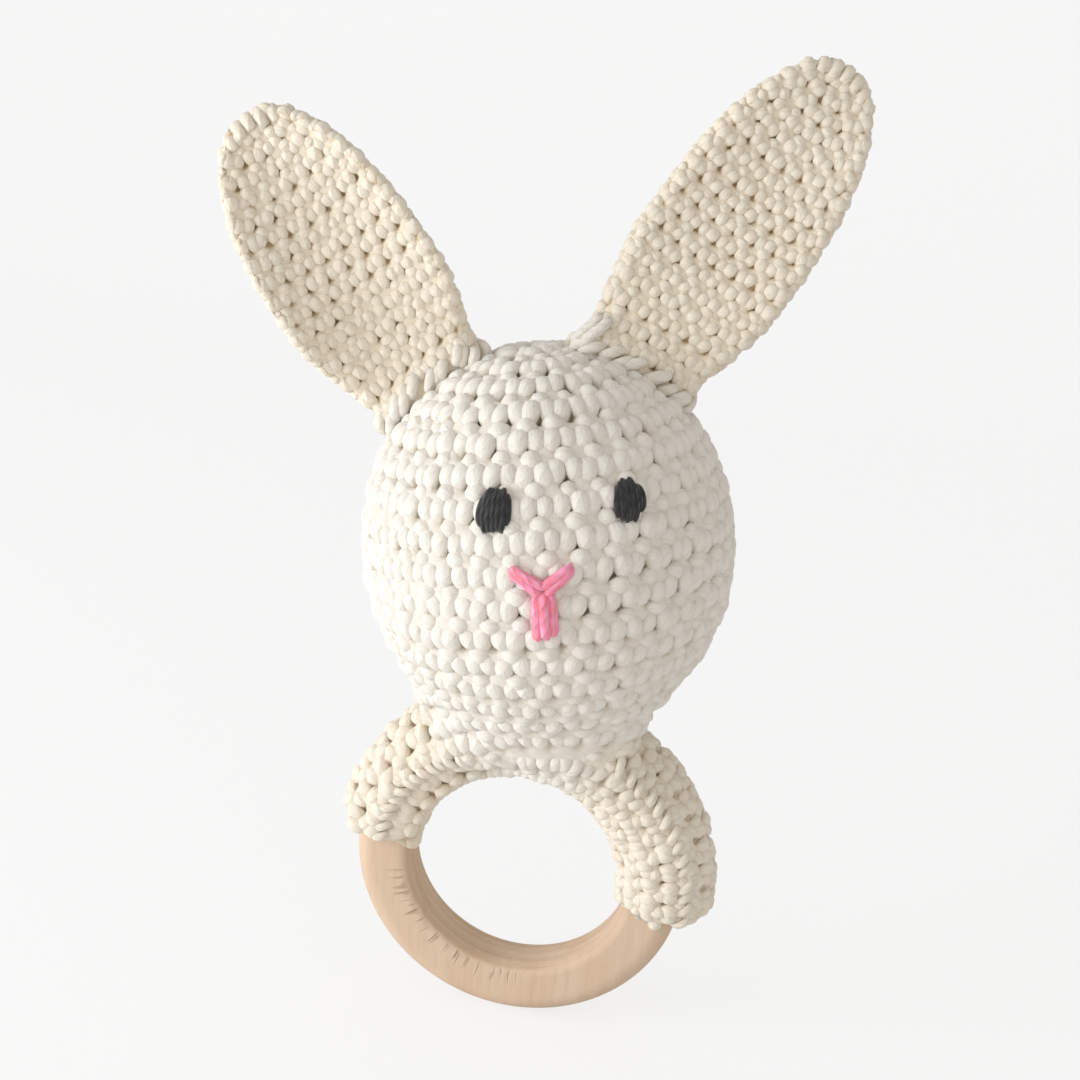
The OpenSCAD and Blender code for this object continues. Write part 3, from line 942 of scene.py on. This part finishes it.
# Whip stitches run from -1 to 1 and dive into the fabric at both ends. A reach is
# half a stitch's length, in degrees, or in radians round the section.
SEAM_STITCHES, SEAM_ALONG, SEAM_ROUND, SEAM_YARN_R = 38, 2.2, 0.17, 0.76
SEAM_END, SEAM_HIDDEN = 5, 22
NECK_STITCHES, NECK_REACH, NECK_SLANT, NECK_YARN_R = 36, 3.6, 0.10, 0.85
EAR_SEAM_STITCHES, EAR_SEAM_REACH, EAR_SEAM_SLANT, EAR_SEAM_YARN_R = 26, 0.45, 0.024, 0.92
TUFT = {"left": (), "right": (0.285, 0.32)}


def dive(t, depth):
    return depth * np.abs(t) ** 3


def make_sleeve_seam(material):
    """Slanting whip stitches that close the sleeve."""
    paths, tones = [], []
    t = np.linspace(-1, 1, 11)
    for along in np.linspace(SEAM_END - SLEEVE_LEFT_A, SLEEVE_RIGHT_A - SEAM_END, SEAM_STITCHES):
        a = along + SEAM_ALONG * t + random.normal(0, 0.4)
        around = np.radians(seam_around(along)) - SEAM_ROUND * t + random.normal(0, 0.04)
        lift = random.normal(-0.25, 0.12) - dive(t, 1.4)
        p = on_sleeve(a, around, lift)
        middle = p[5:6]
        if sleeve_gap(middle)[0] > head_gap(middle)[0] or abs(along) < SEAM_HIDDEN:
            continue
        paths.append((p, gradient(both_gap, p)))
        tones.append(float(whiteness(along)))
    yarn_piece("sleeve_seam_stitches", paths, SEAM_YARN_R, material, ["sleeve_seam"], tones)


def make_neck_seam(material):
    """Whip stitches from the sleeve up to the head, all round the neck."""
    paths = []
    t = np.linspace(-1, 1, 11)
    polar = np.radians(np.linspace(125, 179, 80))
    for azimuth in np.linspace(0, 2 * np.pi, NECK_STITCHES, endpoint=False):
        line = head_direction(np.full(80, azimuth), polar)
        line = HEAD_CENTRE + head_rho(polar)[:, None] * line
        crease = polar[np.argmax(sleeve_gap(line) < 0.5)]
        p = np.radians(np.degrees(crease) - NECK_REACH * t)
        ray = head_direction(azimuth + NECK_SLANT * t + random.normal(0, 0.03), p)
        start, distance = head_hit(ray, p)
        points = start + (distance - 0.25 - dive(t, 1.3))[:, None] * ray
        paths.append((points, gradient(both_gap, points)))
    yarn_piece("neck_seam_stitches", paths, NECK_YARN_R, material, ["neck_seam"])


def make_ear_seam(side, ear, material):
    """Stitches from the head up to an ear all round its base, and its loose tuft."""
    paths, tones = [], []
    t = np.linspace(-1, 1, 9)
    for u in np.linspace(0, 1, EAR_SEAM_STITCHES, endpoint=False):
        v = 0.25 + EAR_SEAM_REACH * t + random.normal(0, 0.16)
        point, normal, _ = ear.surface(u + EAR_SEAM_SLANT * t + random.normal(0, 0.012), v)
        lift = random.normal(-0.15, 0.15) - dive(t, 0.9)
        paths.append((point + lift[:, None] * normal, normal))
        tones.append(random.uniform(0.3, 1.0))
    t = np.linspace(0, 1, 9)
    for u in TUFT[side]:
        point, normal, _ = ear.surface(u + 0.02 * t, 0.1 + 1.7 * t)
        paths.append((point + (0.5 * np.sin(np.pi * t) - 0.3)[:, None] * normal, normal))
        tones.append(1.0)
    yarn_piece(side + "_ear_seam_stitches", paths, EAR_SEAM_YARN_R, material,
               [f"ear_{side}_seam"], tones)


TIP_STRANDS, TIP_HALF_W, TIP_BEND, TIP_SINK, TIP_FLAT = 7, 5.6, 1.7, 2.1, 0.85


def close_tip(mesh, ear):
    """Short strands over the ear's tip from front to back, where the rows are gathered."""
    z = np.linspace(0.7, 1, 200) * ear.length
    for x in np.linspace(-TIP_HALF_W, TIP_HALF_W, TIP_STRANDS):
        top = np.interp(abs(x), ear.half_w(z)[::-1], z[::-1])
        bend = np.linspace(-TIP_BEND, TIP_BEND, 11) + random.normal(0, 0.15)
        out = np.stack([0 * bend, np.sin(bend), np.cos(bend)], axis=-1)
        local = out * (1.0, 1.15, 1.9) + (x, 0, top - TIP_SINK - EAR_YARN_R)
        radii = EAR_YARN_R * np.interp(np.abs(bend), (0.6, TIP_BEND), (1.40, 1.0))
        add_tubes(mesh, ear.place(local)[None], (out @ ear.axes)[None], radii[None], 1.0,
                  np.full((1, 11), -EAR_YARN_R), flat=TIP_FLAT)


def make_ear(side, cup, rows, material):
    ear = Ear(side, cup, rows)
    counts, fit = counts_of(ear.point, rows, EAR_STITCH_W)
    mesh = Mesh()
    crochet(mesh, ear.surface, counts, EAR_YARN_R, lambda u, v: v < rows - 1.3, fit=fit, flat=EAR_FLAT)
    backing(mesh, ear.surface, counts, EAR_YARN_R, low=-0.6, high=rows - 0.5)
    close_tip(mesh, ear)
    obj = mesh.make(side + "_ear_crochet", material)
    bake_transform(obj)
    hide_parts("ear_" + side)
    return ear


STRAND_PLACES, STRAND_SWELL = (0, 0.15, 0.5, 0.85, 1), (0.6, 0.95, 1.0, 0.95, 0.6)


def yarn_piece(name, paths, radius, material, nodes, tones=None):
    """One object of separate strands of yarn, each a list of points and normals."""
    mesh = Mesh()
    for i, (points, normals) in enumerate(paths):
        count = len(points)
        swell = np.interp(np.linspace(0, 1, count), STRAND_PLACES, STRAND_SWELL)
        tone = 1.0 if tones is None else tones[i]
        add_tubes(mesh, points[None], normals[None], (radius * swell)[None], tone,
                  np.full((1, count), -radius))
    piece = mesh.make(name, material)
    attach(piece, "bunny")
    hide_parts(*nodes)


def on_fabric(point, lift):
    """The nearest point of the head's surface, raised by lift, and its normal."""
    for _ in range(3):
        normal = gradient(both_gap, point)
        point = point - both_gap(point)[..., None] * normal
    return point + np.asarray(lift)[..., None] * normal, normal


EYE_STITCHES, EYE_SPREAD, EYE_REACH, EYE_YARN_R = 7, 0.84, 0.86, 0.56


def make_eye(side):
    """Upright satin stitches side by side, longest in the middle, over a soft dome."""
    points = node_points("eye_" + side)
    centre, normal = on_fabric(points.mean(axis=0)[None], np.zeros(1))
    centre, normal = centre[0], normal[0]
    up = unit(HEAD_TURNS[:, 2] - (HEAD_TURNS[:, 2] @ normal) * normal)
    right = np.cross(up, normal)
    half_w = np.ptp(points @ right) / 2
    half_h = np.ptp(points @ up) / 2
    paths = []
    y = np.linspace(-1, 1, 13)
    for x in np.linspace(-EYE_SPREAD, EYE_SPREAD, EYE_STITCHES):
        reach = EYE_REACH * half_h * math.sqrt(1 - 0.80 * x * x) + random.normal(0, 0.25)
        sideways = half_w * (x * (1 - 0.16 * y * y - 0.10 * y) + 0.10 * y)
        place = centre + np.outer(sideways, right) + np.outer(reach * y, up)
        dome = 1.15 * (1 - 0.45 * x * x) * np.sqrt(np.clip(1.02 - y ** 2, 0, 1)) - 0.75
        paths.append(on_fabric(place, dome))
    yarn_piece(side + "_eye_stitches", paths, EYE_YARN_R, BLACK_WOOL, ["eye_" + side])


def ends_of(node):
    """The two ends of a straight CAD stitch."""
    p = node_points(node)
    middle = p.mean(axis=0)
    along = np.linalg.svd(p - middle, full_matrices=False)[2][0]
    t = (p - middle) @ along
    if along[2] < 0:
        along, t = -along, -t
    radius = np.linalg.norm((p - middle) - np.outer(t, along), axis=1).max()
    return middle + (t.min() + radius) * along, middle + (t.max() - radius) * along


NOSE_SPREAD, NOSE_YARN_R = 0.62, 0.80
# Each strand of the mouth: how far to the side, its lift off the face, and its drop.
MOUTH_STRANDS, MOUTH_YARN_R = ((-1.25, 0.1, -0.3), (1.25, 0.1, 0.5), (0.05, 0.5, 0.0)), 0.86
MOUTH_LONGER = 1.1


def sideways(low, top):
    """Direction across a stitch, along the face."""
    return unit(np.cross(top - low, gradient(both_gap, low[None])[0]))


def make_nose():
    """Long straight stitches of pink yarn: two strands to each side, and two down with
    a third over them."""
    for side in ("left", "right"):
        low, top = ends_of("nose_stitch_" + side)
        way = sideways(low, top)
        height = np.interp(np.linspace(0, 1, 12), [0, 0.2, 0.8, 1], [0.25, 0.35, 0.2, -0.9])
        paths = []
        for offset in (-NOSE_SPREAD, NOSE_SPREAD):
            line = np.linspace(low + way * offset * 0.9, top + way * offset * 0.3, 12)
            paths.append(on_fabric(line, height))
        yarn_piece(side + "_nose_stitches", paths, NOSE_YARN_R, PINK_WOOL,
                   ["nose_stitch_" + side])
    bottom, top = ends_of("mouth_stitch")
    top = top + MOUTH_LONGER * unit(top - bottom)
    way = sideways(bottom, top)
    paths = []
    for offset, lift, drop in MOUTH_STRANDS:
        low = bottom + way * offset * 0.85 + np.array([0, 0, drop])
        line = np.linspace(low, top + way * offset * 0.8, 14)
        height = np.interp(np.linspace(0, 1, 14), [0, 0.15, 0.85, 1], [-0.8, lift, lift, 0.1])
        paths.append(on_fabric(line, height))
    yarn_piece("mouth_stitches", paths, MOUTH_YARN_R, PINK_WOOL, ["mouth_stitch"])


# ---- stage, light, camera

def add_object(name, data, axes=None, place=(0, 0, 0)):
    """Adds an object to the scene, with its axes and its place in metres."""
    obj = bpy.data.objects.new(name, data)
    bpy.context.scene.collection.objects.link(obj)
    if axes is not None:
        rows = [[axis[i] for axis in axes] + [place[i]] for i in range(3)]
        obj.matrix_world = Matrix(rows + [[0, 0, 0, 1]])
    return obj


LENS, SENSOR_W = 64.1, 36


def look(azimuth, elevation, distance, target, roll):
    """The camera, in millimetres and degrees. azimuth runs from the front to +X."""
    a, e, r = (math.radians(x) for x in (azimuth, elevation, roll))
    back = np.array([math.sin(a) * math.cos(e), -math.cos(a) * math.cos(e), math.sin(e)])
    right = np.array([math.cos(a), math.sin(a), 0])
    up = np.cross(back, right)
    right, up = math.cos(r) * right + math.sin(r) * up, math.cos(r) * up - math.sin(r) * right
    place = (np.array(target) + back * distance) * MM
    camera = add_object("camera", bpy.data.cameras.new("camera"), (right, up, back), place)
    camera.data.sensor_width = SENSOR_W
    camera.data.lens = LENS
    camera.data.clip_start = 0.01
    bpy.context.scene.camera = camera


LIT_PLACE = (0, 0, 45)


def area_light(name, place, size, power, colour):
    light = bpy.data.lights.new(name, "AREA")
    light.shape = "DISK"
    light.size = size * MM
    light.energy = power
    light.color = colour
    away = unit(np.array(place, float) - np.array(LIT_PLACE, float))
    side = unit(np.cross([0, 0, 1], away))
    add_object(name, light, (side, np.cross(away, side), away), np.array(place) * MM)


GLOW_SHARE = 0.80


def make_stage():
    """A pale floor under the ring that turns up into a backdrop."""
    low = cad_box[0][2]
    front, bend, bend_r, height, half_w = -0.6, 0.35, 0.25, 0.7, 1.2
    profile = [(front, low)]
    profile += [(bend + bend_r * math.sin(a), low + bend_r * (1 - math.cos(a)))
                for a in np.linspace(0, math.pi / 2, 13)]
    profile += [(bend + bend_r, low + height)]
    verts = [(x, y, z) for x in (-half_w, half_w) for y, z in profile]
    n = len(profile)
    faces = [(i, i + n, i + n + 1, i + 1) for i in range(n - 1)]
    data = bpy.data.meshes.new("floor")
    data.from_pydata(verts, [], faces)
    data.shade_smooth()
    material, tree, shader = node_material("pale_floor")
    shader.inputs["Base Color"].default_value = (0.9, 0.9, 0.9, 1)
    shader.inputs["Roughness"].default_value = 0.9
    shader.inputs["Specular IOR Level"].default_value = 0.1
    glow = tree.nodes.new("ShaderNodeEmission")
    glow.inputs["Color"].default_value = (0.98, 0.98, 0.98, 1)
    path = tree.nodes.new("ShaderNodeLightPath")
    mix = tree.nodes.new("ShaderNodeMixShader")
    seen = multiply(tree, path.outputs["Is Camera Ray"], GLOW_SHARE)
    tree.links.new(seen, mix.inputs[0])
    tree.links.new(shader.outputs[0], mix.inputs[1])
    tree.links.new(glow.outputs[0], mix.inputs[2])
    tree.links.new(mix.outputs[0], tree.nodes["Material Output"].inputs["Surface"])
    data.materials.append(material)
    floor = add_object("floor", data)


def make_lights():
    world = bpy.data.worlds.new("studio")
    world.use_nodes = True
    background = world.node_tree.nodes["Background"]
    background.inputs[0].default_value = (1, 0.965, 0.92, 1)
    background.inputs[1].default_value = 0.60
    bpy.context.scene.world = world
    area_light("key", (-470, -250, 110), 420, 2.6, (0.97, 0.985, 1))
    area_light("fill", (250, -420, 60), 400, 0.25, (1, 0.95, 0.90))


bpy.context.scene.view_settings.view_transform = "Standard"
look(10, 21, 300, (-1.33, 0, 56.79), 4.92)
make_stage()
make_lights()
make_head()
make_sleeve()
SEWING_WOOL = wool("sewing_wool", CREAM, CREAM_SHADED, WHITE, WHITE_SHADED)
make_sleeve_seam(SEWING_WOOL)
make_neck_seam(SEWING_WOOL)
# The ear yarn's own cream, then its painted shade for yarn lying low in holes and recesses.
EAR_WOOL = wool("ear_wool", (0.91, 0.84, 0.72), (0.74, 0.59, 0.38), low=-1.8, high=-0.3)
for ear_side, cup, ear_rows in (("left", EAR_LEFT_CUP, 17), ("right", EAR_RIGHT_CUP, 19)):
    the_ear = make_ear(ear_side, cup, ear_rows, EAR_WOOL)
    make_ear_seam(ear_side, the_ear, SEWING_WOOL)
    make_eye(ear_side)
make_nose()
frame["nodes"]["wooden_ring"].data.materials.clear()
frame["nodes"]["wooden_ring"].data.materials.append(ring_wood())
